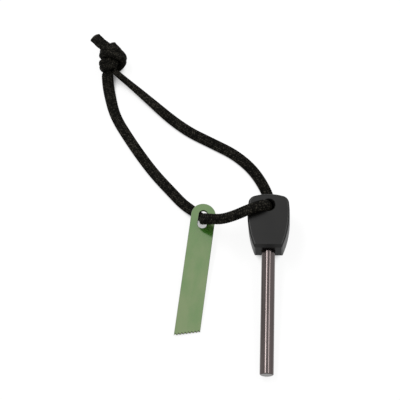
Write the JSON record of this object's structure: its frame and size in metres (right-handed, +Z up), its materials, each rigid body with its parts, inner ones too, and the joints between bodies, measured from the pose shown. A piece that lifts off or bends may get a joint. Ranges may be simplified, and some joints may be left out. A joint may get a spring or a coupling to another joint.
{
  "type": "ferro rod fire starter",
  "caption": "Fire starter with a bare spark rod glued into a moulded grip, a flat toothed striker plate, and one knotted cord loop that ties them together.",
  "frame": {"origin": "centre of the footprint of the handle, rod and striker as they lie on the table, at the table's height", "axes": "+Y from the rod's free tip towards the handle and the cord's knot, +X to the right as pictured, +Z up from the table"},
  "size_m": [0.0979, 0.1734, 0.0212],
  "materials": {
    "handle": "fine satin texture",
    "rod": "drawn ferrocerium, dark grey with a dull metal sheen",
    "adhesive": "cured two-part glue",
    "striker": "matt green coat on hardened steel",
    "cord": "braided nylon"
  },
  "bodies": {
    "fire_rod": {"handle": "handle", "ferro_rod": "rod", "rod_adhesive": "adhesive"},
    "cord": {"cord_striker_run": "cord", "cord_return_run": "cord", "cord_knot": "cord", "cord_long_tail": "cord", "cord_short_tail": "cord"},
    "striker": {"striker": "striker"}
  },
  "joints": [
    {"name": "cord_in_handle_hole", "type": "hinge", "parent": "fire_rod", "child": "cord", "pos_m": [0.0152, 0.03419, 0.0108], "axis": [-0.0715, -0.1043, 0.992], "range_deg": [-120, 20]},
    {"name": "striker_on_cord", "type": "hinge", "parent": "cord", "child": "striker", "pos_m": [-0.01436, 0.03176, 0.00512], "axis": [0.0624, -0.0826, 0.9946], "range_deg": [-35, 35]}
  ]
}
